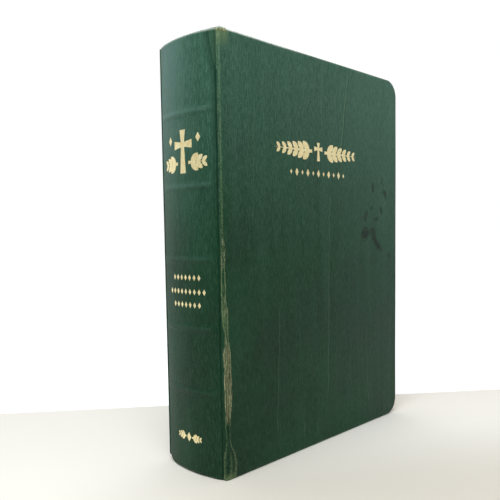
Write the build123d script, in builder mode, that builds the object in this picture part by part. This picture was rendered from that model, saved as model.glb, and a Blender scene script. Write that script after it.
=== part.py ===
from build123d import *
import os
from math import sqrt

os.makedirs("parts", exist_ok=True)

# Driving sizes of the closed book, in millimetres
cover_height = 215.0      # head to tail of the covers
cover_width = 154.0       # joint ridge to fore-edge
book_thickness = 46.0     # outside of the front cover to outside of the back cover
spine_rise = 4.0          # how far the rounded spine stands beyond the joint ridges
joint_radius = 1.6        # rounding of the covering where it turns from spine to cover

# The case: covering, boards and what holds the text block in it
cloth = 0.6               # imitation leather covering
board = 2.0               # cover board
inlay = 1.0               # card that stiffens the spine
inlay_inset = 2.4         # the card stops this far inside the joints
cover_corner = 10.0       # round corners at the fore-edge
edge_round = 1.0          # rounding of the covering over the board's edges
turn_in = 15.0            # covering folded over onto the inside of the boards
turn_in_corner = 1.0      # inner corners of the turn-ins
spine_turn_in = 12.0      # covering folded over at head and tail of the spine
pastedown = 0.2
pastedown_inset = 3.5     # cover edge to the edge of the pastedown
mull_flap = 0.25          # gauze hinge between board and pastedown
mull_flap_width = 25.0
fit_gap = 0.1             # a board or card in its pocket
body_gap = 0.3            # covering of the spine to covering of a cover

# Raised bands blocked into the spine, at heights counted from its middle
band_height = 0.3
band_width = 2.8
band_offsets = (-65.5, -34.0, 0.0, 35.5, 71.0)
band_end = 1.5            # each band stops this far short of the joints

# The text block
square = 3.0              # how far the covers stand beyond the pages
page_corner = 7.0
section_count = 24        # sewn sections of thirty-two leaves
section_gap = 0.1
flyleaf = 0.25
leaf_gap = 0.15           # flyleaf to pastedown, and flyleaf to first section
fold_round = 0.45         # rounding of a section's fold, as a share of its thickness
round_share = 0.625       # rounding of the pages' back, as a share of the spine's rise
hollow = 0.9              # air between the linings and the spine of the case

# Linings of the text block's back, counted outward from the folds
thread_gap = 0.15
thread = 0.25
thread_width = 0.6
kettle_inset = 12.0       # outermost stations from head and tail of the pages
station_offsets = (-67.5, -35.5, 0.0, 35.5, 67.5)   # the others, from the middle
mull = 0.3
mull_short = 16.0         # the gauze stops this far from head and tail of the pages
lining = 0.4
layer_gap = 0.05
lining_inset = 1.5        # linings stop this far inside the outermost sections
band_bead = 1.8           # height of the headband's bead above the pages
band_depth = 1.6          # how far the bead reaches in over the pages
band_skirt = 10.0         # strip of the headband glued down the back of the block
bead_gap = 0.15
bead_round = 0.4          # rounding of the bead, as a share of its height

# Gilt ornament, at heights counted from the middle of the book
foil = 0.05
title_offset = 56.4       # cross and leaf sprays on the front cover
title_width = 71.5
title_height = 10.0
title_arm = 1.5           # width of the cross's arms
title_cross_share = 0.72  # width of the cross, as a share of its height
title_shift = 4.0         # the ornament sits this far towards the joint
title_leaves = 6          # pairs of leaves in a spray
row_offset = 44.5         # row of small lozenges under it
row_width = 46.0
row_count = 11
row_tall = (2.6, 4.2)     # heights of the lozenges, in turn
spine_title_offset = 52.5
spine_title_height = 21.0
spine_title_arm = 2.4
spine_spray_drop = 5.6    # leaf sprays below the middle of the spine's cross
spine_spray_start = 4.0
spine_spray = 11.5
spine_leaf = 9.0
spine_leaves = 3
spine_row_offsets = (-9.0, -16.0, -22.5)
spine_row_counts = (7, 9, 7)
spine_row_pitch = 3.1
foot_level = 18.0         # counted from the tail
foot_width = 18.0
foot_leaf = 4.6
foot_start = 2.2          # the foot's sprays begin this far from its middle
lozenge_share = 0.62      # width of a lozenge or cross, as a share of its height

# Proportions of a cross and of a leaf spray
beam_share = 0.16         # the beam stands this share of the height above the middle
flare_share = 0.35        # how much wider an arm gets at its end
stem_share = 0.09         # half a stem's thickness at its root, as a share of the leaf size
leaf_zone = 0.92          # leaves grow on this share of the stem
leaf_first = 0.5          # reach of the first leaf
leaf_shrink = 0.28        # how much shorter the last one is

# Places that follow from the sizes above
total_width = cover_width + spine_rise + band_height
ridge_x = total_width / 2 - cover_width
fore_x = total_width / 2
half_thickness = book_thickness / 2
middle_z = cover_height / 2
cover_thickness = cloth + board + cloth
joint_y = half_thickness - joint_radius            # where the spine meets a joint
hinge_x = ridge_x - body_gap                       # the covering bends here
flat_x = ridge_x + joint_radius                    # start of the flat of a cover
board_x = flat_x + body_gap                        # spine edge of a board

spine_radius = (joint_y**2 + spine_rise**2) / (2 * spine_rise)
spine_center_x = ridge_x - spine_rise + spine_radius

page_bottom = square
page_height = cover_height - 2 * square
page_top = page_bottom + page_height
pastedown_depth = cover_thickness + pastedown      # cover's outside to its innermost face
flyleaf_depth = pastedown_depth + leaf_gap
block_depth = flyleaf_depth + flyleaf + leaf_gap
block_half = half_thickness - block_depth
section_pitch = 2 * block_half / section_count
section = section_pitch - section_gap
block_round = round_share * spine_rise             # the pages' back stands out this far
case_back = cloth + inlay + fit_gap + cloth        # the case's spine where it turns in
lining_stack = thread_gap + thread + layer_gap + mull + layer_gap + lining
block_setback = case_back + hollow + lining_stack
fold_x = ridge_x - spine_rise + block_setback      # folds of the middle sections
block_radius = (block_half**2 + block_round**2) / (2 * block_round)
block_center_x = fold_x + block_radius
page_width = fore_x - square - (fold_x + block_round)

band_levels = [middle_z + offset for offset in band_offsets]
thread_levels = [page_bottom + kettle_inset, page_top - kettle_inset]
thread_levels += [middle_z + offset for offset in station_offsets]

def face_plane(side, depth):
    """Plane parallel to a cover, at a depth below its outside, facing into the book."""
    origin = (0, side * (half_thickness - depth), middle_z)
    return Plane(origin=origin, x_dir=(1, 0, 0), z_dir=(0, -side, 0))


def plate(side, depth, thickness, spine_x, edge_x, height, corner):
    """A leaf or board: square at the spine, with round corners at the fore-edge."""
    with BuildPart() as piece:
        with BuildSketch(face_plane(side, depth)) as outline:
            with Locations(((spine_x + edge_x) / 2, 0)):
                Rectangle(edge_x - spine_x, height)
            fillet(outline.vertices().group_by(Axis.X)[-1], corner)
        extrude(amount=thickness)
    return piece.part


def curved_layer(center_x, inner, outer, half_width, bottom, top):
    """A sheet wrapped round the back: a ring sector between two radii and two heights."""
    with BuildPart() as piece:
        with BuildSketch(Plane.XY.offset(bottom)):
            with Locations((center_x, 0)):
                Circle(outer)
                Circle(inner, mode=Mode.SUBTRACT)
            with Locations((center_x - outer, 0)):
                Rectangle(outer, 2 * half_width, mode=Mode.INTERSECT)
        extrude(amount=top - bottom)
    return piece.part


def save(name, part):
    part.label = name
    export_step(part, f"parts/{name}.step")


def make_board(side):
    edge_x = fore_x - cloth - fit_gap
    height = cover_height - 2 * (cloth + fit_gap)
    return plate(side, cloth, board, board_x, edge_x, height, cover_corner - cloth)


def make_cover_cloth(side):
    """Covering of one cover: outer skin, wrapped edges, turn-ins and the rounded joint."""
    slab = plate(side, 0, cover_thickness, flat_x, fore_x, cover_height, cover_corner)
    pocket = plate(side, cloth, board, flat_x - 1, fore_x - cloth, cover_height - 2 * cloth,
                   cover_corner - cloth)
    window_depth = cloth + board
    window = plate(side, window_depth, 2 * cloth, flat_x - 1, fore_x - turn_in,
                   cover_height - 2 * turn_in, turn_in_corner)
    with BuildPart() as covering:
        add(slab)
        rim = covering.edges().filter_by(Plane.XZ).sort_by(Axis.X)[2:]
        fillet(rim, edge_round)
        add(pocket, mode=Mode.SUBTRACT)
        add(window, mode=Mode.SUBTRACT)
        with BuildSketch(Plane.XY):
            with Locations((flat_x, side * joint_y)):
                Circle(joint_radius)
                Circle(joint_radius - cloth, mode=Mode.SUBTRACT)
            with Locations((ridge_x + joint_radius / 2, side * (joint_y + joint_radius / 2))):
                Rectangle(joint_radius, joint_radius, mode=Mode.INTERSECT)
        extrude(amount=cover_height)
    return covering.part


def make_pastedown(side):
    """Endpaper glued to the board: it lies over the turn-ins and dips inside them."""
    spine_x = board_x
    edge_x = fore_x - pastedown_inset
    height = cover_height - 2 * pastedown_inset
    corner = cover_corner - pastedown_inset
    dip = cloth - mull_flap
    dip_x = fore_x - turn_in - fit_gap
    dip_height = cover_height - 2 * (turn_in + fit_gap)
    low = cloth + board + mull_flap
    with BuildPart() as sheet:
        add(plate(side, cover_thickness, pastedown, spine_x, edge_x, height, corner))
        add(plate(side, low, dip, spine_x, dip_x, dip_height, turn_in_corner))
        add(plate(side, low + pastedown, dip + pastedown, spine_x - 1, dip_x - pastedown,
                  dip_height - 2 * pastedown, turn_in_corner), mode=Mode.SUBTRACT)
    return sheet.part


def make_mull_flap(side):
    height = page_height - 2 * mull_short
    with BuildPart() as flap:
        with BuildSketch(face_plane(side, cloth + board)):
            with Locations((board_x + mull_flap_width / 2, 0)):
                Rectangle(mull_flap_width, height)
        extrude(amount=mull_flap)
    return flap.part


def make_flyleaf(side):
    spine_x = fold_x + block_round
    return plate(side, flyleaf_depth, flyleaf, spine_x, fore_x - square, page_height, page_corner)


def make_section(side, index):
    """One sewn section, counted from the cover: index 0 is the outermost."""
    depth = block_depth + index * section_pitch + section_gap / 2
    center_y = half_thickness - depth - section / 2
    back_x = block_center_x - sqrt(block_radius**2 - center_y**2)
    with BuildPart() as leaves:
        with BuildSketch(Plane.XY.offset(page_bottom)) as plan:
            with Locations((back_x + page_width / 2, side * center_y)):
                Rectangle(page_width, section)
            fillet(plan.vertices().group_by(Axis.X)[0], fold_round * section)
        extrude(amount=page_height)
        corners = leaves.edges().filter_by(Axis.Y).group_by(Axis.X)[-1]
        fillet(corners, page_corner)
    return leaves.part


def make_spine_cloth():
    """Covering of the spine: skin, head and tail turn-ins with a slot for the inlay, five bands."""
    inner = spine_radius - cloth
    card = inner - inlay - fit_gap
    back = card - cloth
    half_width = joint_y - body_gap
    card_half = joint_y - inlay_inset
    with BuildPart() as covering:
        add(curved_layer(spine_center_x, inner, spine_radius, half_width, 0, cover_height))
        add(curved_layer(spine_center_x, back, spine_radius, card_half, 0, cover_height))
        add(curved_layer(spine_center_x, card, inner, card_half + 1, cloth, cover_height - cloth),
            mode=Mode.SUBTRACT)
        add(curved_layer(spine_center_x, back - 1, card, card_half + 1, spine_turn_in,
                         cover_height - spine_turn_in), mode=Mode.SUBTRACT)
        for level in band_levels:
            add(curved_layer(spine_center_x, inner, spine_radius + band_height,
                             half_width - band_end, level - band_width / 2,
                             level + band_width / 2))
    return covering.part


def make_spine_inlay():
    outer = spine_radius - cloth - fit_gap / 2
    ends = cloth + fit_gap
    return curved_layer(spine_center_x, outer - inlay, outer, joint_y - inlay_inset, ends,
                        cover_height - ends)


thread_inner = block_radius + thread_gap
mull_inner = thread_inner + thread + layer_gap
lining_inner = mull_inner + mull + layer_gap
lining_half = block_half - lining_inset


def make_sewing_thread():
    """Thread that links the sections at each sewing station."""
    with BuildPart() as thread_runs:
        for level in thread_levels:
            add(curved_layer(block_center_x, thread_inner, thread_inner + thread, lining_half,
                             level - thread_width / 2, level + thread_width / 2))
    return thread_runs.part


def make_mull():
    return curved_layer(block_center_x, mull_inner, mull_inner + mull, lining_half,
                        page_bottom + mull_short, page_top - mull_short)


def make_spine_lining():
    return curved_layer(block_center_x, lining_inner, lining_inner + lining, lining_half,
                        page_bottom, page_top)


def make_end_band(end_z, outward):
    """Headband or tailband: a round bead over the pages and a skirt behind the folds."""
    near = end_z + outward * bead_gap
    bead_low, bead_high = sorted((near, near + outward * band_bead))
    skirt_ends = (end_z - outward * band_skirt, near + outward * band_bead / 2)
    skirt_low, skirt_high = sorted(skirt_ends)
    outer = mull_inner + mull
    with BuildPart() as end_band:
        add(curved_layer(block_center_x, block_radius - band_depth, outer, lining_half,
                         bead_low, bead_high))
        fillet(end_band.edges().filter_by(GeomType.CIRCLE), band_bead * bead_round)
        add(curved_layer(block_center_x, mull_inner, outer, lining_half, skirt_low, skirt_high))
    return end_band.part


def lozenge(center, width, height):
    """A small diamond in the active sketch."""
    x, y = center
    half_w, half_h = width / 2, height / 2
    Polygon((x - half_w, y), (x, y + half_h), (x + half_w, y), (x, y - half_h), align=None)


def flared_cross(center, width, height, arm):
    """A plain Latin cross with slightly flared ends, in the active sketch."""
    x, y = center
    beam_y = y + height * beam_share
    flare = arm * flare_share
    half_w, top, foot = width / 2, y + height / 2, y - height / 2
    half = arm / 2
    wide = half + flare
    points = [(x - half, beam_y + half), (x - half_w, beam_y + wide), (x - half_w, beam_y - wide),
              (x - half, beam_y - half), (x - wide, foot), (x + wide, foot),
              (x + half, beam_y - half), (x + half_w, beam_y - wide), (x + half_w, beam_y + wide),
              (x + half, beam_y + half), (x + wide, top), (x - wide, top)]
    Polygon(*points, align=None)


def leaf_spray(start, direction, length, count, size):
    """A tapered stem with paired leaves, in the active sketch; direction is +1 or -1 along X."""
    x, y = start
    tip = x + direction * length
    stem = size * stem_share
    Polygon((x, y + stem), (tip, y), (x, y - stem), align=None)
    for step in range(count):
        share = (step + 0.5) / count
        root_x = x + direction * length * share * leaf_zone
        reach = size * (leaf_first - leaf_shrink * share)
        for up in (1, -1):
            leaf_tip = (root_x + direction * reach * 1.15, y + up * reach)
            bulge_out = (root_x + direction * reach * 0.25, y + up * reach * 0.75)
            bulge_in = (root_x + direction * reach * 0.95, y + up * reach * 0.32)
            # the two edges run anticlockwise, so that the leaf faces the sketch's own way
            first, second = (bulge_in, bulge_out) if up * direction > 0 else (bulge_out, bulge_in)
            there = ThreePointArc((root_x, y), first, leaf_tip, mode=Mode.PRIVATE)
            back = ThreePointArc(leaf_tip, second, (root_x, y), mode=Mode.PRIVATE)
            make_face(there.edges() + back.edges())


def make_front_stamp():
    """Gilt ornament on the front cover: a cross between two leaf sprays, over a row of lozenges."""
    plane = Plane(origin=(0, -half_thickness, 0), x_dir=(1, 0, 0), z_dir=(0, -1, 0))
    center_x = fore_x - cover_width / 2 - title_shift
    title_z = middle_z + title_offset
    spray = (title_width - title_height) / 2
    spray_start = title_width / 2 - spray + title_arm / 3
    with BuildSketch(Plane.XY) as drawing:
        flared_cross((center_x, title_z), title_height * title_cross_share, title_height, title_arm)
        for direction in (1, -1):
            start = (center_x + direction * spray_start, title_z)
            leaf_spray(start, direction, spray, title_leaves, title_height)
        for place in range(row_count):
            offset = (place - (row_count - 1) / 2) * row_width / (row_count - 1)
            tall = row_tall[place % 2]
            lozenge((center_x + offset, middle_z + row_offset), tall * lozenge_share, tall)
    with BuildPart() as ornament:
        extrude(plane * drawing.sketch, amount=foil)
    return ornament.part


def make_spine_stamp():
    """Gilt ornament on the spine, wrapped on its curve: cross, sprays, rows and a foot piece."""
    plane = Plane(origin=(ridge_x, 0, 0), x_dir=(0, -1, 0), z_dir=(-1, 0, 0))
    skin = curved_layer(spine_center_x, spine_radius, spine_radius + foil, joint_y - 2, 0,
                        cover_height)
    title_z = middle_z + spine_title_offset
    foot_spray = foot_width / 2 - foot_start
    with BuildSketch(Plane.XY) as drawing:
        flared_cross((0, title_z), spine_title_height * lozenge_share, spine_title_height,
                     spine_title_arm)
        for direction in (1, -1):
            start = (direction * spine_spray_start, title_z - spine_spray_drop)
            leaf_spray(start, direction, spine_spray, spine_leaves, spine_leaf)
            lozenge((direction * 10.5, title_z + 6.0), 3.0, 4.6)
            foot = (direction * foot_start, foot_level)
            leaf_spray(foot, direction, foot_spray, spine_leaves, foot_leaf)
        lozenge((0, foot_level), 3.4, 4.8)
        for row_shift, count in zip(spine_row_offsets, spine_row_counts):
            for place in range(count):
                offset = (place - (count - 1) / 2) * spine_row_pitch
                lozenge((offset, middle_z + row_shift), 1.9, 3.0)
    with BuildPart() as ornament:
        extrude(plane * drawing.sketch, amount=2 * spine_rise)
        add(skin, mode=Mode.INTERSECT)
    return ornament.part


for side, side_name in ((-1, "front"), (1, "back")):
    save(f"{side_name}_board", make_board(side))
    save(f"{side_name}_cover_cloth", make_cover_cloth(side))
    save(f"{side_name}_pastedown", make_pastedown(side))
    save(f"{side_name}_mull_flap", make_mull_flap(side))
    save(f"{side_name}_flyleaf", make_flyleaf(side))
    for index in range(section_count // 2):
        save(f"{side_name}_section_{index + 1:02d}", make_section(side, index))

save("spine_cloth", make_spine_cloth())
save("spine_inlay", make_spine_inlay())
save("sewing_thread", make_sewing_thread())
save("mull", make_mull())
save("spine_lining", make_spine_lining())
save("headband", make_end_band(page_top, 1))
save("tailband", make_end_band(page_bottom, -1))
save("front_stamp", make_front_stamp())
save("spine_stamp", make_spine_stamp())

print("hinge", hinge_x, joint_y, "fold", fold_x, "section", section, "page width", page_width)
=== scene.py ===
import math
import random
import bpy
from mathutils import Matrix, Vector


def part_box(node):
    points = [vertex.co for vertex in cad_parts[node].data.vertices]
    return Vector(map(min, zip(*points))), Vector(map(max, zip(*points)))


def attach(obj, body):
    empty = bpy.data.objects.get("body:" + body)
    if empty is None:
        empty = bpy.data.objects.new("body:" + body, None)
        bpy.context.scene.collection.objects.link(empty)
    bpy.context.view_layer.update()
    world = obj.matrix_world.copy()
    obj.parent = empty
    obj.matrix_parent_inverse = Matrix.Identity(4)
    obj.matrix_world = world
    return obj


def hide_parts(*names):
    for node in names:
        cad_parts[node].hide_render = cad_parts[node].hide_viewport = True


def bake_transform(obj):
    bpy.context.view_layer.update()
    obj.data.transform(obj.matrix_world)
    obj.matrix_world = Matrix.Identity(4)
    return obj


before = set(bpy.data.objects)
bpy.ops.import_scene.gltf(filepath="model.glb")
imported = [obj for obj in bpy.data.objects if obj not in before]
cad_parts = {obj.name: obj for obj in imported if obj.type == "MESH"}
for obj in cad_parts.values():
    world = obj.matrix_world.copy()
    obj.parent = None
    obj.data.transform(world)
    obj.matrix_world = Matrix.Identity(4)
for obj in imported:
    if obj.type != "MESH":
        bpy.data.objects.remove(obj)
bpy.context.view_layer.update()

from types import SimpleNamespace

import bmesh
import bpy
import numpy as np
from mathutils import Vector

mm = 0.001


def cornersOf(node):
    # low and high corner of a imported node, in millimetres
    return [corner * 1000 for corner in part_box(node)]


# places of the closed book in millimetres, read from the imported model
frontLow, frontHigh = cornersOf("front_cover_cloth")
boardX = cornersOf("front_board")[0].x
bookHeight = frontHigh.z
ridgeX = frontLow.x           # where the covers turn into the spine
foreX = frontHigh.x
halfThick = -frontLow.y
coverThick = frontHigh.y - frontLow.y

book = {
    "jointRadius": 1.6,       # rounding between spine and cover, seen from the spine
    "jointReach": 3.2,        # and along the cover
    "spineRise": 4.0,
    "cornerRadius": 10.0,     # round corners at the fore-edge
    "rimStart": 1.0,          # the rounded rims begin this far in from the edges
    "rimFade": 1.2,           # the waves of the faces die out over this depth
}
jointRadius = book["jointRadius"]
flatX = ridgeX + book["jointReach"]
jointY = halfThick - jointRadius
spineRadius = (jointY ** 2 + book["spineRise"] ** 2) / (2 * book["spineRise"])
spineCenterX = ridgeX - book["spineRise"] + spineRadius


def addMesh(name, points, faces, material, numbers=None, smooth=True):
    mesh = bpy.data.meshes.new(name)
    mesh.from_pydata((np.asarray(points) * mm).tolist(), [], faces)
    rest = mesh.attributes.new("restPlace", "FLOAT_VECTOR", "POINT")
    rest.data.foreach_set("vector", np.asarray(points, np.float32).ravel())
    for key, values in (numbers or {}).items():
        layer = mesh.attributes.new(key, "FLOAT", "POINT")
        layer.data.foreach_set("value", np.asarray(values, np.float32).ravel())
    mesh.polygons.foreach_set("use_smooth", [smooth] * len(mesh.polygons))
    mesh.materials.append(material)
    piece = bpy.data.objects.new(name, mesh)
    bpy.context.collection.objects.link(piece)
    return piece


def faceOutward(piece):
    work = bmesh.new()
    work.from_mesh(piece.data)
    bmesh.ops.recalc_face_normals(work, faces=work.faces)
    work.to_mesh(piece.data)
    work.free()


def gridFaces(columns, rows, flip=False):
    faces = []
    for i in range(columns - 1):
        for j in range(rows - 1):
            a = i * rows + j
            quad = (a, a + rows, a + rows + 1, a + 1)
            faces.append(quad[::-1] if flip else quad)
    return faces


def joinRows(faces, near, far):
    for k in range(len(near) - 1):
        faces.append((near[k], far[k], far[k + 1], near[k + 1]))


def roundedCorner(high, radius, degrees):
    # where a corner's points lie along the leaf, and how far in from its end
    angles = np.radians(degrees)
    return list(high - radius + radius * np.sin(angles)), list(radius * (1 - np.cos(angles)))


def ease(value, low, high):
    t = np.clip((np.asarray(value, float) - low) / (high - low), 0, 1)
    return t * t * (3 - 2 * t)


def bell(value, width):
    return np.exp(-(value / width) ** 2)


def ripple(a, b, size, seed):
    # smooth irregular waves between about -1 and 1
    draw = random.Random(seed)
    total = 0
    for _ in range(6):
        angle = draw.uniform(0, math.tau)
        length = size * draw.uniform(0.6, 1.7)
        phase = draw.uniform(0, math.tau)
        total = total + np.sin((a * math.cos(angle) + b * math.sin(angle)) / length + phase)
    return total / 3.2


shader = {"tree": None}       # the node tree that the functions below add to


def newMaterial(name):
    material = bpy.data.materials.new(name)
    material.use_nodes = True
    shader["tree"] = material.node_tree
    return material, material.node_tree.nodes["Principled BSDF"]


def setInputs(node, inputs):
    for key, value in inputs.items():
        if isinstance(value, bpy.types.NodeSocket):
            shader["tree"].links.new(value, node.inputs[key])
        else:
            node.inputs[key].default_value = value


def addNode(kind, inputs, **settings):
    made = shader["tree"].nodes.new(kind)
    for key, value in settings.items():
        setattr(made, key, value)
    setInputs(made, inputs)
    return made


def calc(operation, a, b=0.0):
    return addNode("ShaderNodeMath", {0: a, 1: b}, operation=operation).outputs[0]


def chain(operation, values):
    result = values[0]
    for value in values[1:]:
        result = calc(operation, result, value)
    return result


def times(*values):
    return chain("MULTIPLY", values)


def plus(*values):
    return chain("ADD", values)


def minus(a, b):
    return calc("SUBTRACT", a, b)


def larger(a, b):
    return calc("MAXIMUM", a, b)


def sizeOf(value):
    return calc("ABSOLUTE", value)


def ramped(value, low, high, start=0.0, end=1.0):
    inputs = {"Value": value, "From Min": low, "From Max": high, "To Min": start, "To Max": end}
    return addNode("ShaderNodeMapRange", inputs, interpolation_type="SMOOTHSTEP").outputs[0]


def falling(value, low, high):
    return ramped(value, low, high, 1.0, 0.0)


def nearLine(value, center, inner, outer):
    # 1 within inner of the centre, 0 beyond outer
    return falling(sizeOf(minus(value, center)), inner, outer)


def between(value, low, high, soft):
    return times(ramped(value, low - soft, low + soft), falling(value, high - soft, high + soft))


def mixColor(factor, a, b):
    return addNode("ShaderNodeMix", {0: factor, 6: a, 7: b}, data_type="RGBA").outputs[2]


def stretched(vector, scale):
    return addNode("ShaderNodeVectorMath", {0: vector, 1: scale}, operation="MULTIPLY").outputs[0]


def noise(vector, scale, detail=3.0, rough=0.5, twist=0.0):
    # three numbers as the scale stretch the pattern
    if isinstance(scale, tuple):
        vector, scale = stretched(vector, scale), 1.0
    inputs = {"Vector": vector, "Scale": scale, "Detail": detail, "Roughness": rough, "Distortion": twist}
    return addNode("ShaderNodeTexNoise", inputs).outputs[0]


def restPlace():
    # rest position in millimetres, kept on the mesh, so the finish stays put when a piece bends
    return addNode("ShaderNodeAttribute", {}, attribute_name="restPlace").outputs["Vector"]


def stored(name):
    return addNode("ShaderNodeAttribute", {}, attribute_name=name).outputs["Fac"]


def cadPlace():
    return stretched(addNode("ShaderNodeTexCoord", {}).outputs["Object"], (1000.0, 1000.0, 1000.0))


def splitPlace(vector):
    return tuple(addNode("ShaderNodeSeparateXYZ", {0: vector}).outputs)


def bump(height, depth):
    return addNode("ShaderNodeBump", {"Height": height, "Distance": depth * mm, "Strength": 1.0}).outputs[0]


def rgb(red, green, blue):
    # a colour given as 0 to 255, as in a paint chart
    parts = []
    for part in (red, green, blue):
        part = part / 255
        parts.append(part / 12.92 if part <= 0.04045 else ((part + 0.055) / 1.055) ** 2.4)
    return (*parts, 1.0)


leather = {
    # dark green: the leather's own darker tone, also used for painted shade at creases and the joint crevice
    "deepAndShade": rgb(5, 45, 24),
    "green": rgb(13, 60, 35),
    # paler tone: random faded streaks, and painted sheen toward the head and the fore-edge
    "fadedAndSheen": rgb(56, 98, 82),
    "rubbed": rgb(92, 128, 96),
    "ridges": rgb(94, 126, 106),     # tops of the grain: lighter grain tone, and painted sheen that grows toward the head
    "scuffed": rgb(124, 142, 100),
    "spineSheen": rgb(112, 146, 142),     # painted sheen on the spine toward the head
    "stain": rgb(26, 40, 33),
    "baseDark": rgb(70, 73, 46),     # cloth base that shows where the green is gone
    "base": rgb(112, 120, 90),
    "fibre": rgb(204, 200, 160),
    # painted highlight along the head edges
    "headEdgeHighlight": rgb(196, 204, 194),
    "grainDepth": 0.055,
    "roughness": 0.44,
    "specular": 0.15,
    # heights above the tail between which the joint is worn through, and those of the rubbed patch above
    "bareHeights": (29, 65.5),
    "patchHeights": (72, 89),
    # lines along the worn joint: place across the strip (-1 to 1) and strength
    "paleLines": ((-0.9, 0.95), (-0.3, 0.35), (0.25, 0.4), (0.88, 0.8)),
    # the same for the folds near the tail, with the height they reach
    "tailFolds": ((-0.9, 40, 0.4), (0.9, 40, 0.42), (0.1, 13, 0.34)),
}


def paint(look, mask, tone):
    look.color = mixColor(mask, look.color, leather[tone])


def wander(place, along, amount):
    # a slow sideways drift of a line that runs up the height
    return times(minus(noise(place, (0.0, 0.0, along), 3.0, 0.6), 0.5), amount)


def leatherGrain(seed):
    place = restPlace()
    moved = addNode("ShaderNodeVectorMath", {0: place, 1: (seed * 37.0, seed * 11.0, 0.0)},
                    operation="ADD").outputs[0]
    x, y, z = splitPlace(place)
    look = SimpleNamespace(place=place, moved=moved, x=x, y=y, z=z, across=stored("jointAcross"),
                           edge=stored("edgeAway"))

    # straight grain: long fine ridges down the height, broken up by a second, shorter one
    longGrain = noise(moved, (2.0, 2.0, 0.26), 2.5, 0.6, 0.3)
    shortGrain = noise(moved, (2.8, 2.8, 1.2), 2.0, 0.6)
    grain = plus(times(longGrain, 0.6), times(shortGrain, 0.4))
    look.height = ramped(grain, 0.36, 0.62)

    patches = noise(moved, 0.022, 3.0, 0.55)
    streaks = noise(moved, (0.16, 0.16, 0.012), 3.0, 0.6)
    look.color = mixColor(ramped(patches, 0.3, 0.7), leather["deepAndShade"], leather["green"])
    # painted sheen: paler toward the head and toward the fore-edge, where the top light and its reflection fall; the
    # streaks add faded tone at random
    fade = plus(times(ramped(z, 90, 225), 0.72), times(ramped(x, -30, 95), ramped(z, 20, 150, 0.08, 0.32)))
    fade = plus(fade, times(minus(streaks, 0.5), 0.5))
    paint(look, calc("MINIMUM", larger(fade, 0.0), 1.0), "fadedAndSheen")
    # grain tops painted lighter: grain tone at the tail, growing into painted sheen toward the head where the top
    # light falls
    ridgeToneAndSheen = ramped(z, 90, 215, 0.16, 0.42)
    paint(look, times(ramped(grain, 0.46, 0.64), ridgeToneAndSheen), "ridges")
    paint(look, times(ramped(grain, 0.5, 0.38), 0.28), "deepAndShade")
    look.rough = plus(leather["roughness"] - 0.06, times(patches, 0.16))

    # small scuffs anywhere
    scuffs = noise(moved, (0.9, 0.9, 0.25), 4.0, 0.7)
    paint(look, times(ramped(scuffs, 0.69, 0.8), 0.35), "rubbed")
    return look


def addCrease(look, x0, z0, x1, z1, strength):
    lean = (x1 - x0) / (z1 - z0)
    sway = wander(look.place, 0.06, 5.0)
    line = plus(x0 - lean * z0, times(look.z, lean), sway)
    along = between(look.z, min(z0, z1) + 4, max(z0, z1) - 4, 4.0)
    mask = times(nearLine(look.x, line, 0.1, 0.75), along)
    # painted shade: a dark line beside each crease, where its fold shades the cover
    shade = times(nearLine(look.x, plus(line, 0.9), 0.1, 0.9), along)
    paint(look, times(mask, 0.34 * strength), "rubbed")
    paint(look, times(shade, 0.3 * strength), "deepAndShade")
    look.height = plus(look.height, times(mask, 1.6 * strength))


def addStains(look, stains):
    smear = noise(look.moved, 0.45, 4.0, 0.65)
    total = None
    for x0, z0, wide, tall, lean, strength in stains:
        dx = minus(minus(look.x, x0), times(minus(look.z, z0), lean))
        dz = minus(look.z, z0)
        reach = plus(calc("POWER", sizeOf(times(dx, 1 / wide)), 2.0), calc("POWER", sizeOf(times(dz, 1 / tall)), 2.0))
        reach = plus(reach, times(minus(smear, 0.5), 3.2))
        spot = times(falling(reach, 0.1, 1.2), strength)
        total = spot if total is None else larger(total, spot)
    paint(look, total, "stain")
    look.rough = plus(look.rough, times(total, 0.12))


def addJointFolds(look):
    across, z, fine = look.across, look.z, look.fine
    sway = wander(look.place, 0.16, 0.9)
    ridge = times(nearLine(across, plus(sway, 1.25), 0.12, 0.75), ramped(fine, 0.4, 0.58), ramped(z, 96, 125))
    paint(look, times(ridge, 0.4), "scuffed")
    flare = ramped(z, 190, 213, 0.0, 3.6)       # the fold opens out toward the head
    # painted shade: the crevice of the joint is painted darker, more toward the head
    crevice = falling(sizeOf(plus(across, plus(flare, 0.35))), 0.15, 0.75)
    paint(look, times(crevice, ramped(z, 110, 190, 0.05, 0.4)), "deepAndShade")
    opened = times(ramped(plus(across, flare), -0.2, 0.4), ramped(across, 0.5, 0.0), ramped(flare, 0.3, 1.2),
                   ramped(fine, 0.36, 0.56))
    paint(look, times(opened, 0.38), "rubbed")
    # painted shade: a soft dark band on the spine side of the crevice
    shade = times(ramped(plus(across, flare), -4.5, -0.9), falling(across, -0.2, 0.2), ramped(z, 60, 190, 0.0, 0.45))
    paint(look, shade, "deepAndShade")


def addSpineSheen(look, spineSheen):
    y, z = look.y, look.z
    # painted sheen: the spine is painted paler toward the head, where the top light falls
    paint(look, times(ramped(z, 95, 222), ramped(y, -15, 18), spineSheen), "spineSheen")
    for offset in spine["bandOffsets"]:
        # painted highlight on the upper flank of each raised band
        bandHighlight = times(nearLine(z, bookHeight / 2 + offset + 0.4, 0.2, 1.5), falling(sizeOf(y), 15, 20))
        paint(look, times(bandHighlight, ramped(z, 60, 200, 0.03, 0.12)), "spineSheen")
    # painted highlight: a pale line along the head edge of the spine
    headRimHighlight = times(ramped(z, bookHeight - 1.6, bookHeight - 0.4), ramped(look.fine, 0.34, 0.52))
    paint(look, times(headRimHighlight, 0.7), "headEdgeHighlight")


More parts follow.
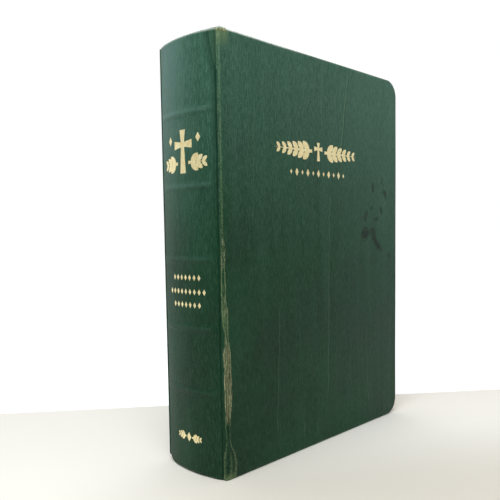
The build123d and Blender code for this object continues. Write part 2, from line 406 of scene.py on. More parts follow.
def addJointWear(look):
    across, z, fine = look.across, look.z, look.fine
    off = stored("wearOff")
    ragged = minus(fine, 0.5)
    along = addNode("ShaderNodeCombineXYZ", {0: across, 1: z, 2: 0.0}).outputs[0]
    ribs = noise(along, (1.5, 0.07, 0.0), 2.0, 0.5)
    strands = noise(along, (4.2, 0.4, 0.0), 3.0, 0.65)
    inside = falling(plus(sizeOf(off), times(ragged, 0.9)), 0.9, 1.1)

    # worn through to the cloth
    bare = times(inside, between(z, *leather["bareHeights"], 2.5))
    cloth = mixColor(ramped(plus(times(ribs, 0.7), times(strands, 0.3)), 0.4, 0.6), leather["baseDark"],
                     leather["base"])
    look.color = mixColor(times(bare, ramped(fine, 0.28, 0.45, 0.45, 0.95)), look.color, cloth)
    for lineAt, amount in leather["paleLines"]:
        line = nearLine(plus(off, times(ragged, 0.35)), lineAt, 0.04, 0.17)
        paint(look, times(line, ramped(strands, 0.42, 0.58), ramped(fine, 0.38, 0.55), between(z, 33, 63, 4.0),
                          amount), "fibre")

    # only rubbed above that, in two lines with a patch between them
    upper = times(ramped(z, 62, 68), falling(z, 104, 124))
    patch = times(inside, between(z, *leather["patchHeights"], 4.0), ramped(strands, 0.36, 0.56), 0.42)
    for lineAt in (-0.85, 0.85):
        line = nearLine(plus(off, times(ragged, 0.5)), lineAt, 0.12, 0.42)
        patch = larger(patch, times(line, ramped(fine, 0.34, 0.54), 0.55))
    paint(look, times(upper, patch), "scuffed")

    # folds that spread toward the tail
    lower = falling(z, 26, 33)
    for lineAt, upTo, amount in leather["tailFolds"]:
        line = nearLine(plus(off, times(ragged, 0.75)), lineAt, 0.06, 0.32)
        paint(look, times(line, ramped(fine, 0.38, 0.56), lower, falling(z, upTo - 4, upTo + 4), amount), "scuffed")
    specks = times(nearLine(across, 0.1, 0.1, 0.5), ramped(z, 110, 125),
                   ramped(noise(look.place, 1.5, 2.0, 0.5), 0.56, 0.62))
    paint(look, times(specks, 0.6), "scuffed")

    # the two corners of the joint, and the pale edge at the head, a painted highlight
    soft = ramped(fine, 0.3, 0.6, 0.35, 1.0)
    head = times(ramped(z, 204, 214.5), between(across, -4.0, 6.5, 2.0), soft)
    tail = times(falling(z, 0.3, 4.5), between(across, -1.0, 6.5, 1.5), soft)
    worn = larger(head, tail)
    paint(look, times(worn, 0.62), "scuffed")
    top = times(ramped(z, bookHeight - 1.3, bookHeight - 0.4), ramped(across, 30, 70, 1.0, 0.1),
                ramped(fine, 0.34, 0.5))
    paint(look, top, "headEdgeHighlight")
    look.rough = plus(look.rough, times(larger(bare, worn), 0.35))
    look.height = plus(look.height, times(bare, ribs, 2.0))


def makeLeather(name, seed, creases=(), stains=(), worn=False, spineSheen=0.0):
    material, surface = newMaterial(name)
    look = leatherGrain(seed)
    for crease in creases:
        addCrease(look, *crease)
    if stains:
        addStains(look, stains)

    # rims are rubbed lighter, more in some places than in others
    rimNoise = noise(look.moved, 0.35, 4.0, 0.7)
    paint(look, times(falling(look.edge, 0.2, 1.5), ramped(rimNoise, 0.42, 0.66), 0.6), "rubbed")

    look.fine = noise(look.place, (1.6, 1.6, 0.9), 4.0, 0.72)
    addJointFolds(look)
    if spineSheen:
        addSpineSheen(look, spineSheen)
    if worn:
        addJointWear(look)
    setInputs(surface, {"Base Color": look.color, "Roughness": look.rough,
                        "Specular IOR Level": leather["specular"],
                        "Normal": bump(look.height, leather["grainDepth"])})
    return material


paper = {
    "leaf": rgb(236, 227, 205),
    "edge": rgb(214, 200, 168),
    "edgeDark": rgb(168, 150, 116),
    "endpaper": rgb(228, 216, 190),
    "foxing": rgb(176, 138, 92),
    "specular": 0.25,
    "grainDepth": 0.02,
}


def makePaper(name, base, edgeLines=False):
    material, surface = newMaterial(name)
    place = restPlace()
    x, _, z = splitPlace(place)
    cloud = noise(place, 0.03, 4.0, 0.6)
    fibre = noise(place, 2.2, 4.0, 0.7)
    color = mixColor(times(ramped(cloud, 0.4, 0.75), 0.35), base, paper["edge"])
    toned = larger(ramped(x, foreX - 16, foreX - 2),
                   larger(ramped(z, 16, 4), ramped(z, bookHeight - 16, bookHeight - 3)))
    color = mixColor(times(toned, 0.4), color, paper["edge"])
    spots = times(ramped(noise(place, 0.16, 3.0, 0.6), 0.68, 0.78), 0.35)
    color = mixColor(spots, color, paper["foxing"])
    height = fibre
    if edgeLines:
        # thin lines of single leaves on the three open sides of the block
        rim = stored("edgeAway")
        leaves = noise(place, (0.02, 16.0, 0.02), 3.0, 0.8)
        broad = noise(place, (0.03, 2.2, 0.03), 2.0, 0.6)
        lines = times(ramped(leaves, 0.35, 0.65), falling(rim, 0.0, 0.5))
        side = mixColor(ramped(broad, 0.3, 0.7), paper["edge"], base)
        side = mixColor(times(lines, 0.75), side, paper["edgeDark"])
        color = mixColor(falling(rim, 0.0, 0.5), color, side)
        height = plus(fibre, times(lines, 2.5))
    setInputs(surface, {"Base Color": color, "Roughness": ramped(cloud, 0.0, 1.0, 0.78, 0.92),
                        "Specular IOR Level": paper["specular"], "Normal": bump(height, paper["grainDepth"])})
    return material


def makePlain(name, colorA, colorB, scale, depth, roughness, weave=None):
    # finish of the inner parts that keep their CAD shape
    material, surface = newMaterial(name)
    place = cadPlace()
    cloud = noise(place, scale, 4.0, 0.65)
    color = mixColor(ramped(cloud, 0.3, 0.7), colorA, colorB)
    height = cloud
    if weave:
        x, y, z = splitPlace(place)
        threads = larger(calc("SINE", times(z, weave)), calc("SINE", times(plus(x, y), weave)))
        color = mixColor(ramped(threads, 0.2, 0.9, 0.5, 0.0), color, rgb(120, 104, 78))
        height = plus(cloud, threads)
    rough = ramped(cloud, 0.0, 1.0, roughness - 0.08, roughness + 0.08)
    setInputs(surface, {"Base Color": color, "Roughness": rough, "Normal": bump(height, depth)})
    return material


def makeGilt():
    material, surface = newMaterial("gilt foil")
    place = restPlace()
    grainy = noise(place, (1.9, 1.9, 0.6), 3.0, 0.6)
    tone = mixColor(ramped(grainy, 0.3, 0.7), rgb(236, 214, 146), rgb(255, 246, 202))
    rubbed = ramped(noise(place, 1.3, 4.0, 0.75), 0.63, 0.7)
    setInputs(surface, {"Base Color": mixColor(times(rubbed, 0.75), tone, leather["green"]),
                        "Metallic": ramped(rubbed, 0.0, 1.0, 0.6, 0.1),
                        "Roughness": ramped(grainy, 0.2, 0.8, 0.3, 0.5), "Normal": bump(grainy, foil["grainDepth"])})
    return material


cover = {
    "hiddenTurn": -32,        # degrees that the covering reaches down into the crevice
    "jointColumns": 20,
    "columnStep": 1.7,        # size of the covering's facets
    "rowStep": 1.0,
    "cornerSteps": 9,
    "waves": 0.1,             # slow unevenness of the covers' faces
    "fineWaves": 0.04,
    "welt": 0.12,             # raised line along the joint, and the groove beside it
    "groove": 0.1,
    "sway": 0.35,
    "rises": {-1: (0.5, 0.0), 1: (3.6, 0.7)},      # tail and head edges beside the joint, front and back
    "riseReach": 6.0,
    "riseFade": 24,
    "jointDepth": 1.2,        # thickness of the covering pack at the joint
    "turnIn": 15.0,
    "rim": ((0.75, 0.03), (0.5, 0.12), (0.3, 0.28), (0.12, 0.52), (0.02, 0.8), (0, 1.1), (0, 1.7),
            (0, 2.25), (0.06, 2.6), (0.24, 2.9), (0.5, 3.08), (0.8, 3.17), (1.2, 3.2), (3.6, 3.2),
            (8.0, 3.2), (14.6, 3.2), (14.9, 3.12), (15.0, 2.9), (15.0, 2.65)),
}


turns = np.radians(np.linspace(cover["hiddenTurn"], 90, 200))
turnLengths = np.hypot(np.diff(-book["jointReach"] * np.cos(turns)), np.diff(jointRadius * np.sin(turns)))
turnAcross = np.concatenate(([0.0], np.cumsum(turnLengths)))
turnAcross -= np.interp(0.0, turns, turnAcross)
jointEnd = turnAcross[-1]


def jointSection(across):
    # x, distance from the middle plane and outward direction of the covering, by distance from the crevice
    if across >= jointEnd:
        return flatX + across - jointEnd, halfThick, 0.0, 1.0
    turn = float(np.interp(across, turnAcross, turns))
    nx, ny = -math.cos(turn) * jointRadius, math.sin(turn) * book["jointReach"]
    size = math.hypot(nx, ny)
    return (flatX - book["jointReach"] * math.cos(turn), jointY + jointRadius * math.sin(turn),
            nx / size, ny / size)


wear = {
    # height, middle and half width of the worn strip of the front joint, from the tail up
    "places": ((0, 3.3, 3.6), (7, 3.8, 3.7), (13, 3.4, 2.8), (17, 2.8, 1.5), (21, 2.6, 0.95), (28, 2.4, 1.2),
               (34, 2.6, 1.6), (41, 3.0, 1.95), (54, 2.95, 2.0), (62, 2.7, 1.9), (66, 2.5, 1.1), (71, 2.4, 0.9),
               (76, 2.1, 1.4), (82, 1.9, 1.6), (87, 1.3, 1.1), (95, 1.3, 1.0), (118, 1.2, 0.8), (215, 1.2, 0.7)),
    "depth": 0.16,            # the bare cloth lies this much lower
    "lip": 0.12,              # raised edges of the strip
    "ribs": 0.1,              # unevenness of the bare cloth
    "fold": 0.13,             # the two folds near the tail
}


def wornPlace(z):
    # middle and half width of the worn strip
    heights, middles, halves = zip(*wear["places"])
    middle = np.interp(z, heights, middles) + 0.1 * ripple(z, z * 0, 3.0, 12)
    return middle, np.interp(z, heights, halves) * (1 + 0.09 * ripple(z, z * 0, 1.6, 14))


def coverWaves(across, z, side):
    wave = cover["waves"] * ripple(across, z, 21.0, 5 + side) * ease(across, 3, 16)
    wave = wave + cover["fineWaves"] * ripple(across * 2.2, z * 0.5, 5.0, 15 + side) * ease(across, 3, 10)
    swayed = across - cover["sway"] * ripple(z, z * 0, 9.0, 31 + side)
    welt = cover["welt"] * bell(swayed - 1.5, 0.6)
    result = wave + welt * (0.7 + 0.5 * ripple(z, across, 3.5, 8 + side)) - cover["groove"] * bell(swayed - 4.4, 1.1)
    if side < 0:
        middle, half = wornPlace(z)
        offCentre = np.abs(across - middle) / half
        reach = ease(z, 26, 33) * (1 - ease(z, 63, 68) * 0.6) * (1 - ease(z, 106, 126))
        bare = reach * (1 - ease(offCentre, 0.7, 1.0))
        lips = bell(offCentre - 1.05, 0.16) * reach * (0.6 + 0.5 * ripple(z * 3, across, 2.4, 77))
        ribs = ripple(z * 3, across * 5, 2.2, 91) * bare
        folds = bell(offCentre - 0.9, 0.22) * (1 - ease(z, 24, 33))
        result = result - wear["depth"] * bare - welt * np.maximum(bare, 1 - ease(z, 20, 40))
        result = result + wear["lip"] * lips + wear["ribs"] * ribs + wear["fold"] * folds
    return result


def shiftEnds(z, across, side):
    # the tail and head edges are rounded off beside the joints
    share = np.clip(1 - np.abs(across) / cover["riseReach"], 0, 1) ** 2
    tail, head = (rise * share for rise in cover["rises"][side])
    fade = cover["riseFade"]
    return z + tail * (1 - ease(z, 0, fade)) - head * ease(z, bookHeight - fade, bookHeight)


def makeCover(side, sideName, material):
    acrossList = list(np.linspace(turnAcross[0], jointEnd, cover["jointColumns"]))
    step, here, endFlat = 0.3, jointEnd, jointEnd + foreX - book["cornerRadius"] - flatX
    while here + step < endFlat:
        here += step
        acrossList.append(here)
        step = min(step * 1.22, cover["columnStep"])
    acrossList.append(endFlat)
    straight = len(acrossList)
    inner = book["cornerRadius"] - book["rimStart"]
    angles = np.radians(np.linspace(0, 90, cover["cornerSteps"] + 1)[1:])
    columns = straight + len(angles)
    rows = int(bookHeight / cover["rowStep"])
    cornerX = foreX - book["cornerRadius"]

    points = np.zeros((columns, rows, 3))
    across = np.zeros((columns, rows))
    for i in range(columns):
        if i < straight:
            x, y, nx, ny = jointSection(acrossList[i])
            low, s = book["rimStart"], acrossList[i]
        else:
            theta = angles[i - straight]
            x, y, nx, ny = cornerX + inner * math.sin(theta), halfThick, 0.0, 1.0
            low = book["cornerRadius"] - inner * math.cos(theta)
            s = jointEnd + x - flatX
        z = np.linspace(low, bookHeight - low, rows)
        out = coverWaves(np.full(rows, s), z, side)
        points[i] = np.stack((x + nx * out, y + ny * out, shiftEnds(z, s, side)), 1)
        across[i] = s
    flat = points.reshape(-1, 3)
    flatAcross = across.reshape(-1)
    edge = np.minimum(np.minimum(flat[:, 2], bookHeight - flat[:, 2]),
                      np.where(flat[:, 0] > 0, foreX - flat[:, 0], 99.0))
    faces = gridFaces(columns, rows)

    # the loop round tail, fore-edge and head, and how each of its points moves in and down
    loop = [(i, 0) for i in range(columns)] + [(columns - 1, j) for j in range(1, rows)]
    loop += [(i, rows - 1) for i in range(columns - 2, -1, -1)]
    ring = [i * rows + j for i, j in loop]
    rimPoints, rimAcross, rimEdge = [], [], []
    middle = bookHeight / 2
    for inset, depth in cover["rim"]:
        for i, j in loop:
            s = across[i, j]
            end = -1 if j == 0 else 1
            corner = min(book["cornerRadius"], max(book["cornerRadius"] - inset, 1.0))
            reachX = foreX - inset - corner
            if i < straight:
                x, y, nx, ny = jointSection(s)
                if inset > 9 and x > flatX:
                    x = flatX + (x - flatX) * (reachX - flatX) / (cornerX - flatX)
                z = inset if j == 0 else bookHeight - inset
            elif j in (0, rows - 1):
                theta = angles[i - straight]
                x, y, nx, ny = reachX + corner * math.sin(theta), halfThick, 0.0, 1.0
                z = inset + corner * (1 - math.cos(theta))
                z = z if end < 0 else bookHeight - z
            else:
                x, y, nx, ny = foreX - inset, halfThick, 0.0, 1.0
                z = middle + (j / (rows - 1) - 0.5) * 2 * (middle - inset - corner)
            pack = cover["jointDepth"] * (0.5 + 0.5 * float(ease(s, 0.5, 2.5)))
            pack += (coverThick - cover["jointDepth"]) * float(ease(x, boardX + 0.3, boardX + 2.3))
            out = float(coverWaves(s, z, side)) * max(0.0, 1 - depth / book["rimFade"]) - depth * pack / coverThick
            uneven = 0.05 * float(ripple(x + z, z, 6.0, 3)) if 0.2 < depth < 3 else 0.0
            zed = float(shiftEnds(z, s, side)) + (uneven * end if i < straight else 0.0)
            zed = min(max(zed, 0.0), bookHeight)
            rimPoints.append((x + nx * out, y + ny * out, zed))
            rimAcross.append(s)
            rimEdge.append(min(inset + depth * 0.1, 5))
    first = len(flat)
    count = len(loop)
    previous = ring
    for step in range(len(cover["rim"])):
        current = [first + step * count + k for k in range(count)]
        joinRows(faces, previous, current)
        previous = current
    points = np.concatenate((flat, np.array(rimPoints)))
    points[:, 1] *= side
    allAcross = np.concatenate((flatAcross, rimAcross))
    wornMiddle, wornHalf = wornPlace(points[:, 2])
    numbers = {"jointAcross": allAcross, "wearOff": (allAcross - wornMiddle) / wornHalf,
               "edgeAway": np.concatenate((edge, rimEdge))}
    piece = addMesh(f"{sideName}Covering", points, faces, material, numbers)
    faceOutward(piece)
    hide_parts(f"{sideName}_cover_cloth")
    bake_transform(piece)
    return piece


spine = {
    "bandOffsets": (-65.5, -34.0, 0.0, 35.5, 71.0),    # raised bands, from the middle of the height
    "bandWidth": 3.0,
    "bandHeight": 0.425,
    "waves": 0.05,
    "fineWaves": 0.03,
    "tailRise": 0.4,
    "edgeDip": 0.75,          # how far the covering goes down into the crevice of each joint
    "side": jointY - 0.12,    # where the covering ends, from the middle plane
    "columnStep": 0.9,
    "rowStep": 0.8,
    "rim": ((0.75, 0.03), (0.5, 0.11), (0.3, 0.24), (0.12, 0.45), (0.02, 0.7), (0, 1.0), (0, 1.35),
            (0.05, 1.75), (0.22, 2.05), (0.5, 2.2), (0.9, 2.28), (1.3, 2.3), (4.0, 2.3), (8.0, 2.3),
            (11.6, 2.3), (11.9, 2.22), (12.0, 2.0), (12.0, 1.8)),
}


def spineWaves(y, z):
    result = spine["waves"] * ripple(y, z, 17.0, 42) + spine["fineWaves"] * ripple(y * 2.4, z * 0.7, 4.0, 43)
    for offset in spine["bandOffsets"]:
        level = bookHeight / 2 + offset + 0.15 * ripple(y, y * 0, 7.0, int(offset) + 90)
        rise = 1 - ease(np.abs(z - level), spine["bandWidth"] * 0.28, spine["bandWidth"] * 0.75)
        result = result + spine["bandHeight"] * rise * (1 - ease(np.abs(y), 17.5, 20.3))
    return result - spine["edgeDip"] * ease(np.abs(y), 20.1, jointY - 0.3) ** 2


def aroundSpine(y, radius):
    angle = y / spineRadius
    return spineCenterX - radius * np.cos(angle), radius * np.sin(angle)


def spineEnds(z, y):
    # head and tail follow the joints, and the tail stands a little off the table in between
    raised = spine["tailRise"] * (1 - ease(np.abs(y), 9, 19)) * (1 - ease(z, 0, cover["riseFade"]))
    return shiftEnds(z, spine["side"] - abs(y), 1 if y > 0 else -1) + raised


def makeSpine(material):
    half = spine["side"]
    ys = list(np.arange(0, half - 2.4, spine["columnStep"])) + list(np.linspace(half - 2.2, half, 10))
    ys = np.array([-y for y in ys[:0:-1]] + ys) * spineRadius * math.asin(half / spineRadius) / half
    rows = int(bookHeight / spine["rowStep"])
    z = np.linspace(book["rimStart"], bookHeight - book["rimStart"], rows)
    grid = []
    for y in ys:
        level = np.full(rows, y)
        x, out = aroundSpine(level, spineRadius + spineWaves(level, z))
        grid.append(np.stack((x, out, spineEnds(z, y)), 1))
    points = np.concatenate(grid)
    allPoints = [points]
    allAcross = [-np.abs(half - np.abs(np.repeat(ys, rows))) - 0.25]
    allEdge = [np.minimum(points[:, 2], bookHeight - points[:, 2])]
    faces = gridFaces(len(ys), rows, flip=True)
    total = len(points)
    pack = 0.5 + 0.5 * (1 - ease(np.abs(ys), 17.6, 19.2))
    for end in (0, rows - 1):
        previous = [i * rows + end for i in range(len(ys))]
        for inset, depth in spine["rim"]:
            level = inset if end == 0 else bookHeight - inset
            fading = np.clip(1 - depth / book["rimFade"], 0, 1)
            x, y = aroundSpine(ys, spineRadius - depth * pack + spineWaves(ys, level) * fading)
            moved = np.array([float(spineEnds(level, across)) for across in ys])
            sag = -0.25 * ease(np.abs(ys), 18, 4) * (1 if end else -1) * (inset < 0.4)
            allPoints.append(np.stack((x, y, np.clip(moved + sag, 0, bookHeight)), 1))
            allAcross.append(-np.abs(half - np.abs(ys)) - 0.25)
            allEdge.append(np.full(len(ys), min(inset + depth * 0.1, 5)))
            current = [total + k for k in range(len(ys))]
            joinRows(faces, previous, current)
            previous = current
            total += len(ys)
    piece = addMesh("spineCovering", np.concatenate(allPoints), faces, material,
                    {"jointAcross": np.concatenate(allAcross), "edgeAway": np.concatenate(allEdge)})
    faceOutward(piece)
    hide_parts("spine_cloth")
    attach(piece, "spine")
    return piece


foil = {
    "above": 0.035,           # its faces, from the skin of the covering
    "below": 0.06,
    "half": 0.025,            # half the thickness of the CAD foil
    "facet": 2.5,
    "cuts": 4,
    "grainDepth": 0.03,
}


def makeFoil(name, node, body, material):
    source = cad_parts[node]
    work = bmesh.new()
    work.from_mesh(source.data)
    bmesh.ops.remove_doubles(work, verts=work.verts, dist=1e-6)
    bmesh.ops.triangulate(work, faces=work.faces)
    for _ in range(foil["cuts"]):
        longEdges = [e for e in work.edges if e.calc_length() > foil["facet"] * mm]
        if not longEdges:
            break
        bmesh.ops.subdivide_edges(work, edges=longEdges, cuts=1)
        bmesh.ops.triangulate(work, faces=work.faces)
    points = np.array([v.co[:] for v in work.verts]) * 1000
    faces = [[v.index for v in f.verts] for f in work.faces]
    work.free()
    if node.startswith("front"):
        across = points[:, 0] - flatX + jointEnd
        outer = points[:, 1] < -halfThick - foil["half"]
        skin = halfThick + coverWaves(across, points[:, 2], -1)
        points[:, 1] = -(skin + np.where(outer, foil["above"], -foil["below"]))
    else:
        y = np.arctan2(points[:, 1], spineCenterX - points[:, 0]) * spineRadius
        radius = np.hypot(points[:, 1], spineCenterX - points[:, 0])
        outer = radius > spineRadius + foil["half"]
        radius = spineRadius + spineWaves(y, points[:, 2]) + np.where(outer, foil["above"], -foil["below"])
        points[:, 0], points[:, 1] = aroundSpine(y, radius)
    piece = addMesh(name, points, faces, material, smooth=False)
    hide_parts(node)
    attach(piece, body)
    return piece


fray = {
    "jointFibres": 420,
    "headFibres": 90,
    "width": 0.11,
    "jointLow": 27.0,
    "jointHigh": 118.0,
    "lines": (-0.95, -0.95, -0.3, 0.3, 0.9, 0.9),      # where fibres start, across the worn strip
    "grainDepth": 0.02,
}


def addFibre(points, faces, path, width):
    first = len(points)
    for step, (spot, out) in enumerate(path):
        size = width * (0.35 if step in (0, len(path) - 1) else 1.0)
        acrossWay = np.cross((0.0, 0.0, 1.0), out)
        for k in range(3):
            turn = k * math.tau / 3
            points.append(spot + (math.cos(turn) * acrossWay + math.sin(turn) * out) * size * 0.5)
    for step in range(len(path) - 1):
        for k in range(3):
            a, b = first + step * 3 + k, first + step * 3 + (k + 1) % 3
            faces.append((a, b, b + 3, a + 3))
    faces.append((first, first + 2, first + 1))
    last = first + (len(path) - 1) * 3
    faces.append((last, last + 1, last + 2))


def jointSpot(across, z, lift):
    # place and outward direction on the front joint
    x, y, nx, ny = jointSection(across)
    out = float(coverWaves(across, z, -1)) + lift
    return np.array([x + nx * out, -(y + ny * out), float(shiftEnds(z, across, -1))]), np.array([nx, -ny, 0.0])


def makeFray(material):
    draw = random.Random(411)
    points, faces = [], []
    for _ in range(fray["jointFibres"]):
        middle = draw.uniform(fray["jointLow"], fray["jointHigh"])
        if draw.random() > float(ease(middle, 26, 38) * (1 - 0.85 * ease(middle, 62, 72))):
            continue
        centre, half = (float(value) for value in wornPlace(middle))
        start = centre + half * draw.choice(fray["lines"]) + draw.gauss(0, 0.12)
        length = draw.uniform(1.2, 5.5)
        drift = draw.gauss(0, 0.22)
        rise = draw.uniform(0.03, 0.16)
        path = []
        for step in range(6):
            share = step / 5
            across = start + drift * share + 0.1 * math.sin(share * draw.uniform(3, 7))
            lift = 0.02 + rise * math.sin(share * math.pi) * draw.uniform(0.5, 1.2)
            path.append(jointSpot(max(across, -0.5), middle + (share - 0.5) * length, lift))
        addFibre(points, faces, path, fray["width"] * draw.uniform(0.6, 1.5))
    for _ in range(fray["headFibres"]):
        start = draw.uniform(-0.5, 5.5)
        top = bookHeight + draw.uniform(-0.7, 0.6) * (1 - abs(start - 1.5) / 6)
        path = []
        lean = draw.gauss(0, 0.3)
        for step in range(4):
            share = step / 3
            lift = 0.03 + 0.1 * share - 0.5 * share ** 4
            path.append(jointSpot(start + lean * share, top - 1.6 * (1 - share), lift))
        addFibre(points, faces, path, fray["width"] * draw.uniform(0.7, 1.6))
    piece = addMesh("jointFray", np.array(points), faces, material)
    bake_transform(piece)
    return piece


def makeFibreFinish():
    material, surface = newMaterial("worn cloth threads")
    tint = noise(restPlace(), (1.4, 1.4, 0.5), 3.0, 0.6)
    setInputs(surface, {"Base Color": mixColor(ramped(tint, 0.4, 0.65), leather["scuffed"], leather["fibre"]),
                        "Roughness": ramped(tint, 0.0, 1.0, 0.7, 0.95), "Normal": bump(tint, fray["grainDepth"])})
    return material


pages = {
    "leafGroups": 6,          # groups of leaves that show in one section
    "gap": 0.035,
    "pageCorner": 7.0,
    "bendLength": 34.0,       # the leaves bend over this distance from the fold
    "flyBend": 20.0,
    "flyTrim": 0.04,          # how much thinner the flyleaf is than its CAD solid, on each face
    "bendShares": (0, 0.012, 0.03, 0.06, 0.1, 0.15, 0.21, 0.28, 0.36, 0.45, 0.55, 0.66, 0.78, 0.9, 1.0),
    "inner": 9.0,             # edgeAway of points that aren't on an edge
    "gutter": ridgeX + 1.0,   # where pastedown and flyleaf meet
}


def leafColumns(low, high, corner, bend):
    xs = [low + bend * share for share in pages["bendShares"]]
    xs += [xs[-1] + (high - corner - xs[-1]) * share for share in (0.33, 0.66, 1.0)]
    turnedXs, turnedEnds = roundedCorner(high, corner, (18, 36, 54, 68, 80, 90))
    return np.array(xs + turnedXs), np.array([0.0] * len(xs) + turnedEnds)


def addSheet(points, faces, edges, xs, ends, low, high, nearY, farY):
    # a leaf or a group of leaves: two faces and the edge between them, with its own rim points
    first = len(points)
    count = len(xs)
    for y in (nearY, farY):
        points += [(x, y, low + end) for x, end in zip(xs, ends)]
        points += [(x, y, high - end) for x, end in zip(xs, ends)]
        edges += [pages["inner"]] * (2 * count)
    bottom, top, far = first, first + count, 2 * count
    for i in range(count - 1):
        faces.append((bottom + i, bottom + i + 1, top + i + 1, top + i))
        faces.append((far + bottom + i, far + top + i, far + top + i + 1, far + bottom + i + 1))
    # the rim has its own points, so that the edge lines don't run onto the page
    outline = [bottom + i for i in range(count)] + [top + i for i in range(count - 1, -1, -1)]
    rimFirst = len(points)
    for offset in (0, far):
        for index in outline:
            points.append(points[index + offset])
            edges.append(0.0)
    size = len(outline)
    for k in range(size):
        a, b = rimFirst + k, rimFirst + (k + 1) % size
        faces.append((a, a + size, b + size, b))


def makeSection(side, sideName, index, material):
    node = f"{sideName}_section_{index:02d}"
    low, high = cornersOf(node)
    draw = random.Random(700 + index * 2 + side)
    centre, thick = (low.y + high.y) / 2, high.y - low.y
    group = thick / pages["leafGroups"]
    points, faces, edges = [], [], []
    for number in range(pages["leafGroups"]):
        near = low.y + number * group + pages["gap"] / 2
        off = (near + group / 2 - centre) / (thick / 2)
        back = low.x + 0.5 * (1 - math.sqrt(1 - min(abs(off), 0.98) ** 2))
        front = high.x - 0.12 - abs(draw.gauss(0, 0.14))
        tail = low.z + abs(draw.gauss(0, 0.1))
        head = high.z - abs(draw.gauss(0, 0.1))
        xs, ends = leafColumns(back, front, pages["pageCorner"], pages["bendLength"])
        addSheet(points, faces, edges, xs, ends, tail, head, near, near + group - pages["gap"])
    piece = addMesh(f"{sideName}Section{index:02d}", points, faces, material, {"edgeAway": edges},
                    smooth=False)
    faceOutward(piece)
    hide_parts(node)
    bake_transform(piece)
    return piece


def makeFlyleaf(side, sideName, material):
    node = f"{sideName}_flyleaf"
    low, high = cornersOf(node)
    points, faces, edges = [], [], []
    foldX = pages["gutter"] + 0.4
    xs, ends = leafColumns(foldX, high.x, pages["pageCorner"], pages["flyBend"])
    addSheet(points, faces, edges, xs, ends, low.z, high.z, low.y + pages["flyTrim"], high.y - pages["flyTrim"])
    piece = addMesh(f"{sideName}Flyleaf", points, faces, material, {"edgeAway": edges}, smooth=False)
    faceOutward(piece)
    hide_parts(node)
    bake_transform(piece)
    return piece


pastedown = {
    "inset": 3.5,             # from the edges of the cover
    "corner": 6.5,
    "columnStep": 1.6,
    "rows": 130,
    "thickness": 0.14,
    "rise": 0.16,             # its outer face stands this far above the covering's turn-ins
    "sink": 0.3,              # and sinks inside them
    "gauzeRise": 0.13,        # over the gauze it rises again
    "gauzeReach": 24.6,
    "gauzeInset": 18.5,
}


def makePastedown(side, sideName, material):
    node = f"{sideName}_pastedown"
    low, high = cornersOf(node)
    corner, gutter = pastedown["corner"], pages["gutter"]
    xs = [gutter, gutter + 0.3, gutter + 0.6, boardX - 0.2, boardX + 0.1, boardX + 0.5, boardX + 1.2]
    xs += list(np.arange(boardX + 2.4, high.x - corner - 0.5, pastedown["columnStep"])) + [high.x - corner]
    turnedXs, turnedEnds = roundedCorner(high.x, corner, (15, 30, 45, 60, 75, 90))
    ends = [0.0] * len(xs) + turnedEnds
    xs += turnedXs
    gauzeX = boardX + pastedown["gauzeReach"]
    points = []
    for x, end in zip(xs, ends):
        start = pastedown["inset"] + end
        zs = np.linspace(start, bookHeight - start, pastedown["rows"])
        fromEnds = np.minimum(zs, bookHeight - zs)
        inside = np.minimum(fromEnds, foreX - x) - cover["turnIn"]
        sink = pastedown["sink"] * ease(inside, -0.4, 1.6)
        gauze = pastedown["gauzeRise"] * (1 - ease(x, gauzeX, gauzeX + 1.4))
        gauze = gauze * ease(fromEnds, pastedown["gauzeInset"], pastedown["gauzeInset"] + 1.5)
        waves = 0.025 * ripple(x, zs, 16.0, 61 + side) * ease(inside, 0, 9)
        level = halfThick - coverThick - pastedown["rise"] - waves
        ys = level + (sink - gauze) * ease(x, boardX + 0.4, boardX + 1.6)
        points += [(x, side * y, z) for y, z in zip(ys, zs)]
    faces = gridFaces(len(xs), pastedown["rows"])
    piece = addMesh(f"{sideName}Pastedown", points, faces, material, {"edgeAway": [pages["inner"]] * len(points)})
    solid = piece.modifiers.new("thickness", "SOLIDIFY")
    solid.thickness = pastedown["thickness"] * mm
    solid.offset = 1.0 if side > 0 else -1.0
    depsgraph = bpy.context.evaluated_depsgraph_get()
    piece.data = bpy.data.meshes.new_from_object(piece.evaluated_get(depsgraph))
    piece.modifiers.clear()
    faceOutward(piece)
    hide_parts(node)
    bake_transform(piece)
    return piece


bands = {
    "colorA": rgb(226, 214, 176),
    "colorB": rgb(52, 92, 64),
    "stripe": 1.5,
    "thread": 0.3,
    "radius": 0.85,           # of the bead
    "beadOut": 0.75,          # of the bead's middle, from the back of the pages
    "columns": 140,
    "blockHalf": 19.05,       # the back of the pages is an arc of this half width and rise
    "blockRise": 2.5,
    "bulge": 0.035,           # each turn of the silk stands out by this share
    "turn": 0.6,
    "strip": 0.22,            # thickness of the strip glued down the back of the pages
    "grainDepth": 0.05,
}


def makeBandFinish():
    material, surface = newMaterial("headband silk")
    x, y, _ = splitPlace(restPlace())
    wave = calc("SINE", times(plus(y, times(x, 0.35)), math.tau / (2 * bands["stripe"])))
    color = mixColor(ramped(wave, -0.15, 0.15), bands["colorA"], bands["colorB"])
    thread = calc("SINE", times(y, math.tau / bands["thread"]))
    setInputs(surface, {"Base Color": color, "Roughness": ramped(thread, -1.0, 1.0, 0.55, 0.7),
                        "Normal": bump(thread, bands["grainDepth"])})
    return material


def backOfPages(y):
    radius = (bands["blockHalf"] ** 2 + bands["blockRise"] ** 2) / (2 * bands["blockRise"])
    return radius - math.sqrt(radius ** 2 - y * y)


